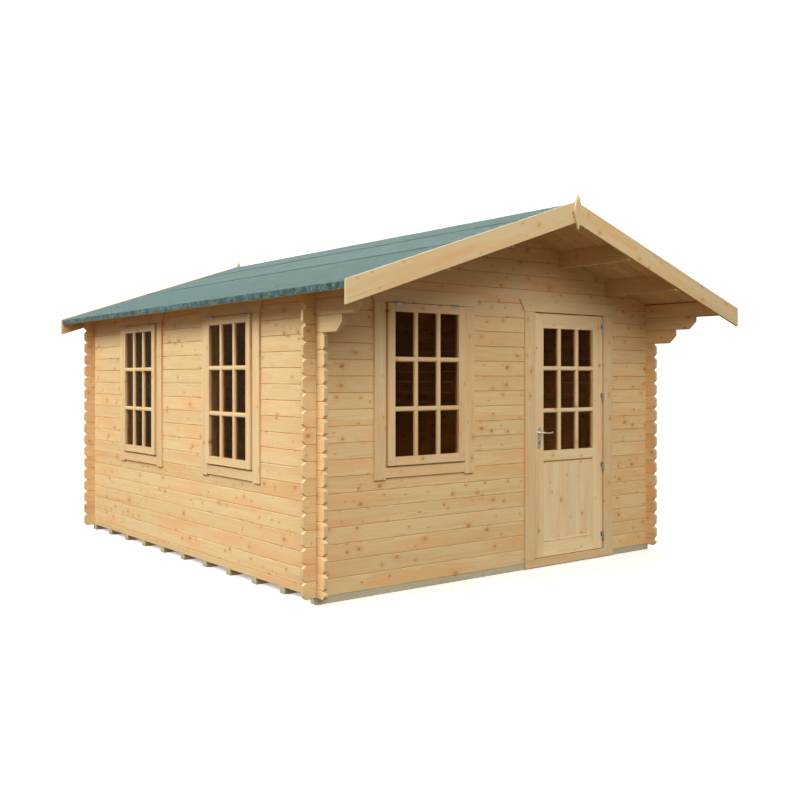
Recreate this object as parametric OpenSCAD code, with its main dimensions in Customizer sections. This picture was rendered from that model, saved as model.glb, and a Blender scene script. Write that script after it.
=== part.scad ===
// Log cabin: interlocking log walls, a glazed door, three windows and a low
// felted roof that reaches out over the door. +Z is up and -Y is the door end.
// The origin is on the ground, under the middle of the roof's length and width.

/* [Walls] */
// Width over the outer faces of the side walls
cabin_w = 3480; // [2900:10:4400]
// Length over the outer faces of the end walls
cabin_l = 4120; // [3400:10:5200]
// Height of one log
course_h = 114; // [95:1:137]
// Thickness of the logs
log_t = 30; // [24:1:44]
// Whole logs in an end wall below its gable
courses = 18; // [17:1:20]
// How far the log ends stand out past a corner
log_end = 100; // [60:5:140]
// Chamfer on the top and bottom of each log end
end_chamfer = 18; // [8:1:22]
// Depth of the V groove at each joint between logs
groove = 4; // [2:0.5:6]

/* [Corbels] */
// Logs at the top of each side wall that reach out under the roof
corbel_logs = 3; // [3:1:3]
// Reach of the lowest corbel log in front of the end wall
corbel_low = 306; // [220:2:340]
// Reach of the middle corbel log in front of the end wall
corbel_mid = 508; // [400:2:560]
// Chamfer under the nose of the two lower corbel logs
corbel_chamfer = 65; // [30:1:80]

/* [Floor] */
// Number of bearers under the floor
bearer_count = 11; // [7:2:15]
// Width of a bearer
bearer_w = 67; // [45:1:90]
// Height of a bearer
bearer_h = 47; // [40:1:75]
// Thickness of the floor boards
floor_t = 19; // [15:1:28]

/* [Roof] */
// Pitch of the roof in degrees
roof_pitch = 18.76; // [15:0.01:22]
// Reach of the roof in front of the front wall
front_overhang = 733; // [640:1:880]
// Reach of the roof behind the back wall
rear_overhang = 202; // [160:1:300]
// Reach of the roof past each side wall
side_overhang = 260; // [180:1:320]
// Thickness of the roof boards
roof_board_t = 19; // [15:1:25]
// Thickness of one layer of roofing felt
felt_t = 3; // [2:0.5:5]
// Height of the felted edge along the eaves
eaves_edge_h = 47; // [36:1:70]
// Thickness of the eaves boards
eaves_board_t = 19; // [15:1:28]
// How far the felted edge is set in from the barge board ends
eaves_inset = 10; // [4:1:20]
// Width of the ridge felt on each side of the ridge, along the slope
ridge_felt_w = 500; // [250:5:600]

/* [Barge boards] */
// Width of a barge board
barge_w = 144; // [120:1:180]
// Thickness of a barge board
barge_t = 21; // [16:1:28]
// How far the barge boards stand above the felt
barge_lip = 10; // [4:1:20]
// Height of the diamond at each end of the ridge
finial_h = 257; // [180:1:300]
// Width of the diamond at each end of the ridge
finial_w = 95; // [70:1:140]
// Thickness of the diamond at each end of the ridge
finial_t = 20; // [15:1:28]
// How far the diamond stands above the barge boards
finial_up = 49; // [20:1:80]

/* [Purlins] */
// Thickness of a purlin
purlin_t = 44; // [35:1:60]
// Height of a purlin
purlin_h = 130; // [100:1:150]
// Middle of the upper purlins, from the ridge
purlin_upper_x = 620; // [400:5:760]
// Middle of the lower purlins, from the ridge
purlin_lower_x = 1199; // [860:1:1220]

/* [Windows] */
// Width of a window opening in the logs
window_w = 786; // [620:2:900]
// Height of a window opening, in logs
window_courses = 11; // [9:1:12]
// Middle of the front window, left of the cabin's middle
front_window_x = 804; // [700:2:830]
// Middle of each side window, from the end wall near it
side_window_y = 1205; // [850:5:1300]
// Sash face showing between the frame's outside and the sash, at the sides
sash_side_margin = 35; // [28:1:45]
// The same above and below the sash
sash_end_margin = 53.5; // [48:0.5:70]
// Thickness of a sash
sash_t = 36; // [30:1:50]
// Width of the stiles and rails of a sash
sash_face = 61; // [45:1:80]
// Width of a glazing bar
bar_w = 36; // [24:1:45]
// Panes across and panes up in each glazed area
panes = 3; // [2:1:4]
// How far a window frame laps behind its sash
frame_lap = 20; // [12:1:30]
// Depth of the glazing bars in front of the glass
bar_depth = 20; // [12:1:24]
// Depth of the rebate that holds the edge of the glass
rebate = 8; // [5:1:12]
// Thickness of the glass
glass_t = 4; // [3:1:6]
// Length of a window hinge
window_hinge_l = 60; // [40:1:80]
// Radius of a window hinge's knuckle
window_hinge_r = 5; // [3:0.5:6]
// Height of the leaf of a window hinge on the face of the sash
window_hinge_leaf = 16; // [10:1:24]
// Distance from the edge of the sash to the middle of its hinge
window_hinge_inset = 100; // [60:1:160]

/* [Trim] */
// Thickness of the trim boards
trim_t = 18; // [12:1:24]
// Width of the trim boards beside a window
window_trim_w = 92; // [70:1:110]
// Gap between a sash and its trim at the sides
trim_side_gap = 15; // [6:1:20]
// Gap between a sash and the trim under it
trim_low_gap = 13; // [6:1:20]
// Gap between a sash and the trim over it
trim_top_gap = 6; // [3:1:12]
// Height of the trim board under a window
window_sill_h = 72; // [50:1:90]
// How far the side boards run past the board under a window
trim_tail = 12; // [6:1:30]
// Height of the head boards
head_h = 95; // [70:1:110]
// How far each end of a head board flares out
head_flare = 55; // [20:1:70]
// Width of the trim boards beside the door
door_trim_w = 108; // [80:1:120]

/* [Door] */
// Middle of the doorway, right of the cabin's middle
door_x = 724; // [700:2:740]
// Clear width between the door jambs
door_w = 830; // [700:2:860]
// Width of a door jamb
jamb_w = 30; // [22:1:40]
// Height of the door frame's head
frame_head_h = 57; // [40:1:70]
// Depth of the door and window frames behind the wall's outer face
frame_d = 60; // [56:1:80]
// Height of the threshold above the bottom of the logs
threshold_h = 24; // [19:1:32]
// Drop of the board in front of the threshold, below the logs
threshold_drop = 38; // [20:1:40]
// Running clearance round the door leaf
door_gap = 6; // [5:0.5:8]
// Gap between the leaf and the hinge jamb
hinge_gap = 15; // [14:0.5:20]
// Thickness of the door leaf
leaf_t = 40; // [36:1:44]
// Width of the stiles of the door leaf
stile_w = 108; // [90:1:130]
// Height of the top rail of the door leaf
top_rail_h = 120; // [90:1:150]
// Height of the middle rail of the door leaf
mid_rail_h = 80; // [70:1:120]
// Height of the bottom rail of the door leaf
bottom_rail_h = 119; // [90:1:160]
// Height of the boarded panel in the door leaf
panel_h = 654; // [500:2:720]
// Thickness of the boarded panel
panel_t = 18; // [12:1:22]
// How far the panel is set back from the face of the leaf
panel_inset = 11; // [8:1:16]
// Boards in the panel
panel_boards = 6; // [4:1:9]
// Depth of the V joints between the boards in the panel
panel_groove = 3; // [1:0.5:4]
// How far the door stop stands out from the jamb
stop_w = 14; // [10:1:18]

/* [Door hardware] */
// Number of hinges on the door
hinge_count = 4; // [3:1:5]
// Length of a hinge
hinge_h = 76; // [60:1:100]
// Height of the lowest hinge's middle above the bottom of the leaf
hinge_low_z = 102; // [80:1:160]
// Distance from the top hinge's middle to the top of the leaf
hinge_top_z = 103; // [80:1:160]
// Radius of a hinge knuckle
knuckle_r = 7; // [5:0.5:7]
// Radius of a hinge pin
hinge_pin_r = 4; // [3:0.5:4]
// Thickness of the hinge plates
hinge_plate_t = 2; // [1.5:0.5:3]
// Depth of the hinge plates on the jamb
jamb_plate_w = 26; // [16:1:30]
// Width of the hinge plates on the face of the leaf
leaf_plate_w = 14; // [10:1:24]
// Gap between the two knuckles of a hinge
knuckle_gap = 1; // [0.5:0.5:2]
// Thickness of a knuckle's closed end, over its pin
knuckle_end = 5; // [3:1:8]
// Height of the lever's axis above the bottom of the logs
lever_z = 1032; // [900:1:1100]
// Length of the lever from its axis
lever_l = 122; // [100:1:140]
// Radius of the lever's grip
lever_r = 8; // [6:0.5:10]
// Stand-off of the lever's middle from the face of the leaf
lever_out = 52; // [42:1:65]
// Width of the handle plates
plate_w = 38; // [30:1:48]
// Height of the handle plates
plate_h = 178; // [150:1:240]
// Thickness of the handle plates
plate_t = 6; // [4:0.5:9]
// Distance from the lever's axis up to the top of the handle plates
plate_up = 49; // [30:1:60]
// Distance from the lever's axis down to the lock cylinder
lock_drop = 66; // [55:1:80]
// Radius of the lock cylinder
lock_r = 8.5; // [6:0.5:10]
// How far the lock cylinder stands out from its plate
lock_out = 3; // [1:0.5:5]

/* [Hidden] */

$fn = 48;
cut = 1;

// Timber, felt, glass and metal colours
pine = [0.90, 0.75, 0.53];
pine_light = [0.93, 0.79, 0.58];
pine_board = [0.87, 0.69, 0.45];
treated = [0.62, 0.60, 0.50];
felt_green = [0.33, 0.50, 0.47];
glass_dark = [0.25, 0.20, 0.15, 0.5];
steel = [0.75, 0.76, 0.76];

// Faces of the cabin
side_x = cabin_w / 2;
inner_x = side_x - log_t;
roof_l = front_overhang + cabin_l + rear_overhang;
front_y = front_overhang - roof_l / 2;
back_y = front_y + cabin_l;
wall_z = bearer_h;
end_wall_h = courses * course_h;
side_wall_h = (courses + 0.5) * course_h;
corbel_z = side_wall_h - corbel_logs * course_h;

// Roof: roof_z is the underside of the roof boards, and what carries them stops a hair lower
seat_gap = 0.1;
rise = tan(roof_pitch);
stretch = 1 / cos(roof_pitch);
function roof_z(x) = side_wall_h + (side_x - abs(x)) * rise;
function seat_z(x) = roof_z(x) - seat_gap;
roof_half = side_x + side_overhang;
board_end_x = roof_half - eaves_inset - felt_t;
board_v = roof_board_t * stretch;
felt_v = felt_t * stretch;
barge_top = board_v + felt_v + barge_lip * stretch;
roof_front_y = front_y - front_overhang + barge_t;
roof_back_y = back_y + rear_overhang - barge_t;

// Heights of the joints, from the bottom of the logs
end_joints = [for (k = [0:courses]) k * course_h];
gable_joints = [for (k = [1:floor(roof_z(0) / course_h)]) k * course_h];
side_joints = [0, for (k = [0:courses - corbel_logs]) (k + 0.5) * course_h];
all_side_joints = [for (k = [0:courses - 1]) (k + 0.5) * course_h];

// Windows
window_h = window_courses * course_h;
sash_w = window_w - 2 * sash_side_margin;
sash_h = window_h - 2 * sash_end_margin;
front_window_z = end_wall_h - window_h;
side_window_z = front_window_z - course_h / 2;

// Doorway
doorway_w = door_w + 2 * jamb_w;
leaf_l = door_x - door_w / 2 + door_gap;
leaf_r = door_x + door_w / 2 - hinge_gap;
leaf_w = leaf_r - leaf_l;
leaf_z = threshold_h + door_gap;
leaf_top = end_wall_h - frame_head_h - door_gap;
leaf_h = leaf_top - leaf_z;
door_glass_z = bottom_rail_h + panel_h + mid_rail_h;
pivot_x = leaf_r + hinge_gap / 2;
pivot_y = -knuckle_r - 1;
hinge_step = (leaf_h - hinge_low_z - hinge_top_z) / (hinge_count - 1);
lever_x = leaf_l + stile_w / 2;
pin_clearance = 0.1;
spindle_clearance = 1;

// ---- Placing ----

// Extrudes an outline of (x, z) points between two y values
module through_y(y0, y1) {
    translate([0, y1, 0]) rotate([90, 0, 0]) linear_extrude(y1 - y0) children();
}

// Extrudes an outline of (y, z) points between two x values
module along_x(x0, x1) {
    translate([x0, 0, 0]) rotate([90, 0, 90]) linear_extrude(x1 - x0) children();
}

// Puts a piece on the logs: heights are from the bottom of the walls
module on_walls() {
    translate([0, 0, wall_z]) children();
}

// Puts a piece on the front wall: y = 0 is its outer face and +y goes indoors
module on_front() {
    translate([0, front_y, wall_z]) children();
}

// Puts a window piece on the front wall, from the bottom middle of its opening
module front_window_place() {
    on_front() translate([-front_window_x, 0, front_window_z]) children();
}

// Puts a window piece on the left wall, with window 1 nearer the front
module side_window_place(i) {
    y = i == 1 ? front_y + side_window_y : back_y - side_window_y;
    translate([-side_x, y, wall_z + side_window_z]) rotate([0, 0, -90]) children();
}

// ---- Log walls ----

// A stack of logs seen from its end, in (across, z): a V groove in both faces at each joint
module log_section(outer, inner, joints, top_outer, top_inner) {
    dir = sign(inner - outer);
    n = len(joints) - 1;
    polygon([
        [outer, -cut],
        for (z = joints) each [[outer, z - groove], [outer + dir * groove, z], [outer, z + groove]],
        [outer, top_outer],
        [inner, top_inner],
        for (i = [n:-1:0])
            each [[inner, joints[i] + groove], [inner - dir * groove, joints[i]],
                  [inner, joints[i] - groove]],
        [inner, -cut]
    ]);
}

// The edge of a wall at its log ends, from the bottom up, chamfered at each joint
function log_ends(at, dir, joints) = [
    for (i = [0:len(joints) - 2])
        each [[at - dir * end_chamfer, joints[i]], [at, joints[i] + end_chamfer],
              [at, joints[i + 1] - end_chamfer]],
    [at - dir * end_chamfer, joints[len(joints) - 1]]
];

function reversed(list) = [for (i = [len(list) - 1:-1:0]) list[i]];

// Where an end wall's logs are notched to let a side wall's logs through
module end_wall_laps(x) {
    for (k = [0:courses])
        translate([x, -cut, (k - 0.25) * course_h]) cube([log_t, log_t + 2 * cut, course_h / 2]);
}

// Where a side wall's logs are notched to let an end wall's logs through
module side_wall_laps(y) {
    for (k = [0:courses - 1])
        translate([-side_x - cut, y, (k + 0.25) * course_h])
            cube([log_t + 2 * cut, log_t, course_h / 2]);
}

// Part of an end wall, from its outline in (x, z); outer and inner are the y of its faces
module end_logs(outer, inner, x0, x1) {
    top = roof_z(0) + course_h;
    intersection() {
        along_x(x0 - cut, x1 + cut) log_section(outer, inner, gable_joints, top, top);
        through_y(min(outer, inner), max(outer, inner)) children();
    }
}

module front_wall_left() {
    x1 = door_x - doorway_w / 2;
    color(pine) on_front() difference() {
        end_logs(0, log_t, -side_x - log_end, x1)
            polygon([
                [x1, 0], [x1, end_wall_h],
                each reversed(log_ends(-side_x - log_end, -1, end_joints))
            ]);
        end_wall_laps(-side_x);
        translate([-front_window_x - window_w / 2, -cut, front_window_z])
            cube([window_w, log_t + 2 * cut, window_h + cut]);
    }
}

module front_wall_right() {
    x0 = door_x + doorway_w / 2;
    color(pine) on_front() difference() {
        end_logs(0, log_t, x0, side_x + log_end)
            polygon([
                each log_ends(side_x + log_end, 1, end_joints),
                [x0, end_wall_h], [x0, 0]
            ]);
        end_wall_laps(inner_x);
    }
}

module back_wall() {
    color(pine) translate([0, back_y, wall_z]) difference() {
        end_logs(0, -log_t, -side_x - log_end, side_x + log_end)
            polygon([
                each log_ends(side_x + log_end, 1, end_joints),
                each reversed(log_ends(-side_x - log_end, -1, end_joints))
            ]);
        translate([0, -log_t, 0]) {
            end_wall_laps(-side_x);
            end_wall_laps(inner_x);
        }
    }
}

// The logs over an end wall, cut to the roof and notched for the purlins
module gable(outer, inner) {
    end_logs(outer, inner, -inner_x, inner_x)
        difference() {
            polygon([
                [-inner_x, end_wall_h], [inner_x, end_wall_h], [inner_x, seat_z(inner_x)],
                [0, seat_z(0)], [-inner_x, seat_z(inner_x)]
            ]);
            for (x = [-purlin_lower_x, -purlin_upper_x, 0, purlin_upper_x, purlin_lower_x])
                translate([x - purlin_t / 2, purlin_z(x)]) square([purlin_t, 2 * purlin_h]);
        }
}

module front_gable() {
    color(pine) on_front() gable(0, log_t);
}

module back_gable() {
    color(pine) translate([0, back_y, wall_z]) gable(0, -log_t);
}

// Window openings through the left wall
module side_window_openings() {
    for (y = [front_y + side_window_y, back_y - side_window_y])
        translate([-side_x - cut, y - window_w / 2, side_window_z])
            cube([log_t + 2 * cut, window_w, window_h]);
}

// Part of the left-hand side wall, from its outline in (y, z)
module side_logs() {
    difference() {
        intersection() {
            through_y(roof_front_y - cut, back_y + log_end + cut)
                log_section(-side_x, -inner_x, all_side_joints, seat_z(side_x), seat_z(inner_x));
            along_x(-side_x, -inner_x) children();
        }
        side_wall_laps(front_y);
        side_wall_laps(back_y - log_t);
    }
}

// Side wall up to the corbel logs
module side_wall() {
    side_logs() polygon([
        each log_ends(back_y + log_end, 1, side_joints),
        each reversed(log_ends(front_y - log_end, -1, side_joints))
    ]);
}

// The top logs of a side wall, which step out under the front of the roof
module eaves_logs() {
    back = back_y + log_end;
    low = front_y - corbel_low;
    mid = front_y - corbel_mid;
    z1 = corbel_z + course_h;
    z2 = z1 + course_h;
    eaves_joints = [corbel_z, z1, z2, side_wall_h];
    side_logs() polygon([
        each log_ends(back, 1, eaves_joints),
        [back - end_chamfer, side_wall_h + course_h],
        [roof_front_y, side_wall_h + course_h],
        [roof_front_y, z2],
        [mid, z2],
        [mid, z1 + corbel_chamfer],
        [mid + corbel_chamfer, z1],
        [low, z1],
        [low, corbel_z + corbel_chamfer],
        [low + corbel_chamfer, corbel_z]
    ]);
}

module left_wall() {
    color(pine_light) on_walls() difference() {
        side_wall();
        side_window_openings();
    }
}

module left_eaves_logs() {
    color(pine_light) on_walls() difference() {
        eaves_logs();
        side_window_openings();
    }
}

module right_wall() {
    color(pine_light) on_walls() mirror([1, 0, 0]) side_wall();
}

module right_eaves_logs() {
    color(pine_light) on_walls() mirror([1, 0, 0]) eaves_logs();
}

// ---- Floor ----

module floor_bearers() {
    step = (cabin_l - bearer_w) / (bearer_count - 1);
    color(treated) for (i = [0:bearer_count - 1])
        translate([-side_x, front_y + i * step, 0]) cube([cabin_w, bearer_w, bearer_h]);
}

// The floor between the walls, cut round the door frame
module floor_boards() {
    color(pine_board) difference() {
        translate([-inner_x, front_y + log_t, wall_z])
            cube([2 * inner_x, cabin_l - 2 * log_t, floor_t]);
        translate([door_x - doorway_w / 2, front_y, wall_z - cut])
            cube([doorway_w, frame_d, floor_t + 2 * cut]);
    }
}

// ---- Roof ----

// Underside of the purlin whose middle is at x
function purlin_z(x) = roof_z(x) - purlin_h;

// The purlin whose middle is at x, with its top cut to the roof
module purlin(x) {
    x0 = x - purlin_t / 2;
    x1 = x + purlin_t / 2;
    peak = x == 0 ? [[0, seat_z(0)]] : [];
    color(pine_board) on_walls() through_y(roof_front_y, roof_back_y) polygon([
        [x0, purlin_z(x)], [x1, purlin_z(x)], [x1, seat_z(x1)], each peak, [x0, seat_z(x0)]
    ]);
}

// The roof's right-hand slope; the left-hand slope is its mirror image
module slope(side) {
    on_walls() mirror([side < 0 ? 1 : 0, 0, 0]) through_y(roof_front_y, roof_back_y) children();
}

module roof_boards(side) {
    color(pine_board) slope(side) polygon([
        [0, roof_z(0)], [board_end_x, roof_z(board_end_x)],
        [board_end_x, roof_z(board_end_x) + board_v], [0, roof_z(0) + board_v]
    ]);
}

// Height of the bottom of the felted edge along the eaves
eaves_edge_z = roof_z(board_end_x) + board_v + felt_v - eaves_edge_h;

module eaves_board(side) {
    x0 = board_end_x - eaves_board_t;
    color(pine_board) slope(side) polygon([
        [x0, eaves_edge_z], [board_end_x, eaves_edge_z],
        [board_end_x, seat_z(board_end_x)], [x0, seat_z(x0)]
    ]);
}

// Felt over one slope, folded down over the eaves
module roof_felt(side) {
    x1 = board_end_x + felt_t;
    color(felt_green) slope(side) polygon([
        [0, roof_z(0) + board_v], [board_end_x, roof_z(board_end_x) + board_v],
        [board_end_x, eaves_edge_z], [x1, eaves_edge_z],
        [x1, roof_z(x1) + board_v + felt_v], [0, roof_z(0) + board_v + felt_v]
    ]);
}

module ridge_felt() {
    x = ridge_felt_w / stretch;
    low = board_v + felt_v + seat_gap;
    high = low + felt_v;
    color(felt_green) on_walls() through_y(roof_front_y, roof_back_y) polygon([
        [0, roof_z(0) + low], [x, roof_z(x) + low], [x, roof_z(x) + high],
        [0, roof_z(0) + high], [-x, roof_z(x) + high], [-x, roof_z(x) + low]
    ]);
}

// A barge board from the ridge to the eaves, with its outer face at y
module barge(side, y) {
    v = barge_w * stretch;
    color(pine_light) on_walls() mirror([side < 0 ? 1 : 0, 0, 0]) through_y(y, y + barge_t)
        polygon([
            [0, roof_z(0) + barge_top - v], [roof_half, roof_z(roof_half) + barge_top - v],
            [roof_half, roof_z(roof_half) + barge_top], [0, roof_z(0) + barge_top]
        ]);
}

// The diamond on the ridge end, from y to y + finial_t
module finial(y) {
    top = roof_z(0) + barge_top + finial_up;
    half = finial_w / 2;
    color(pine_light) on_walls() through_y(y, y + finial_t) polygon([
        [0, top], [half, top - finial_h / 2], [0, top - finial_h], [-half, top - finial_h / 2]
    ]);
}

// ---- Windows: x along the wall, y indoors from its outer face, z from the opening's bottom ----

// Holes for a grid of panes in a glazed area, from its lower left corner
module pane_holes(w, h, y0, y1) {
    pane_w = (w - (panes - 1) * bar_w) / panes;
    pane_h = (h - (panes - 1) * bar_w) / panes;
    for (i = [0:panes - 1], j = [0:panes - 1])
        translate([i * (pane_w + bar_w), y0, j * (pane_h + bar_w)])
            cube([pane_w, y1 - y0, pane_h]);
}

// Head board with flared ends over a window or door, from its bottom middle
module head_board(w) {
    through_y(-trim_t, 0) polygon([
        [-w / 2, 0], [w / 2, 0], [w / 2 + head_flare, head_h], [-w / 2 - head_flare, head_h]
    ]);
}

module window_trim() {
    half = sash_w / 2 + trim_side_gap;
    sill_top = sash_end_margin - trim_low_gap;
    sill_low = sill_top - window_sill_h;
    head_z = sash_end_margin + sash_h + trim_top_gap;
    color(pine_light) {
        translate([-half, -trim_t, sill_low]) cube([2 * half, trim_t, window_sill_h]);
        for (x = [-half - window_trim_w, half])
            translate([x, -trim_t, sill_low - trim_tail])
                cube([window_trim_w, trim_t, head_z - sill_low + trim_tail]);
        translate([0, 0, head_z]) head_board(2 * (half + window_trim_w));
    }
}

module window_frame() {
    clear_w = sash_w - 2 * frame_lap;
    clear_h = sash_h - 2 * frame_lap;
    color(pine_board) difference() {
        translate([-window_w / 2, 0, 0]) cube([window_w, frame_d, window_h]);
        translate([-clear_w / 2, -cut, sash_end_margin + frame_lap])
            cube([clear_w, frame_d + 2 * cut, clear_h]);
    }
}

module window_sash() {
    glazed_w = sash_w - 2 * sash_face;
    glazed_h = sash_h - 2 * sash_face;
    color(pine_light) translate([-sash_w / 2, -sash_t, sash_end_margin]) difference() {
        cube([sash_w, sash_t, sash_h]);
        translate([sash_face, 0, sash_face]) {
            pane_holes(glazed_w, glazed_h, -cut, bar_depth + cut);
            translate([-rebate, bar_depth, -rebate])
                cube([glazed_w + 2 * rebate, sash_t - bar_depth + cut, glazed_h + 2 * rebate]);
        }
    }
}

module window_glass() {
    glass_w = sash_w - 2 * sash_face + 2 * rebate;
    glass_h = sash_h - 2 * sash_face + 2 * rebate;
    color(glass_dark)
        translate([-glass_w / 2, bar_depth - sash_t, sash_end_margin + sash_face - rebate])
            cube([glass_w, glass_t, glass_h]);
}

// The two top hinges of one window: a knuckle, a leaf on the sash and a leaf over it
module window_hinge_pair() {
    y = -sash_t - hinge_plate_t;
    for (side = [-1, 1])
        translate([side * (sash_w / 2 - window_hinge_inset) - window_hinge_l / 2, 0,
                   sash_end_margin + sash_h]) {
            translate([0, -sash_t - window_hinge_r, trim_top_gap / 2])
                rotate([0, 90, 0]) cylinder(r = window_hinge_r, h = window_hinge_l);
            translate([0, y, -window_hinge_leaf])
                cube([window_hinge_l, hinge_plate_t, window_hinge_leaf]);
            translate([0, y, 0]) cube([window_hinge_l, -y, trim_top_gap / 2]);
        }
}

module window_hinges() {
    color(steel) {
        front_window_place() window_hinge_pair();
        for (i = [1, 2]) side_window_place(i) window_hinge_pair();
    }
}

// ---- Door: on the front wall, heights from the bottom of the logs ----

module door_trim() {
    half = door_w / 2;
    outer = half + door_trim_w;
    head_z = end_wall_h - frame_head_h;
    color(pine_light) translate([door_x, 0, 0]) {
        for (x = [-outer, half])
            translate([x, -trim_t, threshold_h])
                cube([door_trim_w, trim_t, head_z - threshold_h]);
        translate([-outer, -trim_t, -threshold_drop])
            cube([2 * outer, trim_t, threshold_h + threshold_drop]);
        translate([0, 0, head_z]) head_board(2 * outer);
    }
}

// Jambs, head and threshold, with a stop behind the leaf
module door_frame() {
    head_z = end_wall_h - frame_head_h;
    stop_y = leaf_t + door_gap;
    color(pine_board) translate([door_x, 0, 0]) difference() {
        translate([-doorway_w / 2, 0, 0]) cube([doorway_w, frame_d, end_wall_h]);
        translate([-door_w / 2, -cut, threshold_h])
            cube([door_w, stop_y + cut, head_z - threshold_h]);
        translate([-door_w / 2 + stop_w, -cut, threshold_h])
            cube([door_w - 2 * stop_w, frame_d + 2 * cut, head_z - threshold_h - stop_w]);
    }
}

// Puts a hinge piece at each hinge, on the pin's axis at the middle of the hinge
module at_hinges() {
    for (i = [0:hinge_count - 1])
        translate([pivot_x, pivot_y, leaf_z + hinge_low_z + i * hinge_step]) children();
}

// Lower knuckle, pin and plate of each lift-off hinge, on the jamb
module door_frame_hinges() {
    jamb_x = door_x + door_w / 2 - pivot_x;
    half = hinge_h / 2;
    lower_h = half - knuckle_gap;
    color(steel) at_hinges() translate([0, 0, -half]) {
        cylinder(r = knuckle_r, h = lower_h);
        cylinder(r = hinge_pin_r, h = hinge_h - knuckle_end - knuckle_gap);
        translate([jamb_x - hinge_plate_t, 0, 0]) cube([hinge_plate_t, jamb_plate_w, lower_h]);
        cube([jamb_x, hinge_plate_t, lower_h]);
    }
}

// Upper knuckle and plate of each lift-off hinge, on the leaf
module door_leaf_hinges() {
    half = hinge_h / 2;
    color(steel) at_hinges() difference() {
        union() {
            cylinder(r = knuckle_r, h = half);
            translate([-hinge_gap / 2 - leaf_plate_w, -pivot_y - hinge_plate_t, 0])
                cube([hinge_gap / 2 + leaf_plate_w, hinge_plate_t, half]);
        }
        translate([0, 0, -cut])
            cylinder(r = hinge_pin_r + pin_clearance, h = half - knuckle_end + cut);
    }
}

module door_leaf() {
    glazed_w = leaf_w - 2 * stile_w;
    glazed_h = leaf_h - door_glass_z - top_rail_h;
    color(pine_light) translate([leaf_l, 0, leaf_z]) difference() {
        cube([leaf_w, leaf_t, leaf_h]);
        translate([stile_w, -cut, bottom_rail_h]) cube([glazed_w, leaf_t + 2 * cut, panel_h]);
        translate([stile_w, 0, door_glass_z]) {
            pane_holes(glazed_w, glazed_h, -cut, bar_depth + cut);
            translate([-rebate, bar_depth, -rebate])
                cube([glazed_w + 2 * rebate, leaf_t - bar_depth + cut, glazed_h + 2 * rebate]);
        }
        translate([stile_w / 2, -cut, lever_z - leaf_z])
            rotate([-90, 0, 0])
                cylinder(r = lever_r + spindle_clearance, h = leaf_t + 2 * cut);
    }
}

// Upright boards in the lower half of the leaf, with V joints in both faces
module door_panel() {
    w = leaf_w - 2 * stile_w;
    board = w / panel_boards;
    v = panel_groove;
    color(pine) translate([leaf_l + stile_w, panel_inset, leaf_z + bottom_rail_h])
        linear_extrude(panel_h) polygon([
            [0, 0],
            for (i = [1:panel_boards - 1]) each [[i * board - v, 0], [i * board, v], [i * board + v, 0]],
            [w, 0],
            [w, panel_t],
            for (i = [panel_boards - 1:-1:1])
                each [[i * board + v, panel_t], [i * board, panel_t - v], [i * board - v, panel_t]],
            [0, panel_t]
        ]);
}

module door_glass() {
    glass_w = leaf_w - 2 * stile_w + 2 * rebate;
    glass_h = leaf_h - door_glass_z - top_rail_h + 2 * rebate;
    color(glass_dark)
        translate([leaf_l + stile_w - rebate, bar_depth, leaf_z + door_glass_z - rebate])
            cube([glass_w, glass_t, glass_h]);
}

// One plate, with its outer face towards -y and its back on y = 0
module handle_plate() {
    difference() {
        union() {
            translate([-plate_w / 2, -plate_t, plate_up - plate_h])
                cube([plate_w, plate_t, plate_h]);
            translate([0, 0, -lock_drop]) rotate([90, 0, 0])
                cylinder(r = lock_r, h = plate_t + lock_out);
        }
        translate([0, cut, 0]) rotate([90, 0, 0])
            cylinder(r = lever_r + pin_clearance, h = plate_t + 2 * cut);
    }
}

module door_handle_plates() {
    color(steel) translate([lever_x, 0, lever_z]) {
        handle_plate();
        translate([0, leaf_t, 0]) mirror([0, 1, 0]) handle_plate();
    }
}

// The spindle with a lever on each side of the leaf, each pointing at the hinges
module door_lever() {
    reach = lever_out + lever_r;
    color(steel) translate([lever_x, 0, lever_z]) {
        translate([0, -reach, 0]) rotate([-90, 0, 0])
            cylinder(r = lever_r, h = leaf_t + 2 * reach);
        for (y = [-lever_out, leaf_t + lever_out])
            translate([0, y, 0]) {
                rotate([0, 90, 0]) cylinder(r = lever_r - 1, h = lever_l - lever_r);
                translate([lever_l - lever_r, 0, 0]) sphere(r = lever_r - 1);
            }
    }
}

// ---- Nodes ----

floor_bearers();
floor_boards();
left_wall();
left_eaves_logs();
right_wall();
right_eaves_logs();
back_wall();
back_gable();
front_wall_left();
front_wall_right();
front_gable();
purlin(0);  // ridge_purlin
purlin(-purlin_upper_x);  // left_upper_purlin
purlin(-purlin_lower_x);  // left_lower_purlin
purlin(purlin_upper_x);  // right_upper_purlin
purlin(purlin_lower_x);  // right_lower_purlin
roof_boards(-1);  // roof_boards_left
roof_boards(1);  // roof_boards_right
eaves_board(-1);  // eaves_board_left
eaves_board(1);  // eaves_board_right
roof_felt(-1);  // roof_felt_left
roof_felt(1);  // roof_felt_right
ridge_felt();
barge(-1, roof_front_y - barge_t);  // front_barge_left
barge(1, roof_front_y - barge_t);  // front_barge_right
barge(-1, roof_back_y);  // rear_barge_left
barge(1, roof_back_y);  // rear_barge_right
finial(roof_front_y - barge_t - finial_t);  // front_finial
finial(roof_back_y + barge_t);  // rear_finial
front_window_place() window_trim();  // front_window_trim
front_window_place() window_frame();  // front_window_frame
front_window_place() window_sash();  // front_window_sash
front_window_place() window_glass();  // front_window_glass
side_window_place(1) window_trim();  // side_window_1_trim
side_window_place(1) window_frame();  // side_window_1_frame
side_window_place(1) window_sash();  // side_window_1_sash
side_window_place(1) window_glass();  // side_window_1_glass
side_window_place(2) window_trim();  // side_window_2_trim
side_window_place(2) window_frame();  // side_window_2_frame
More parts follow.
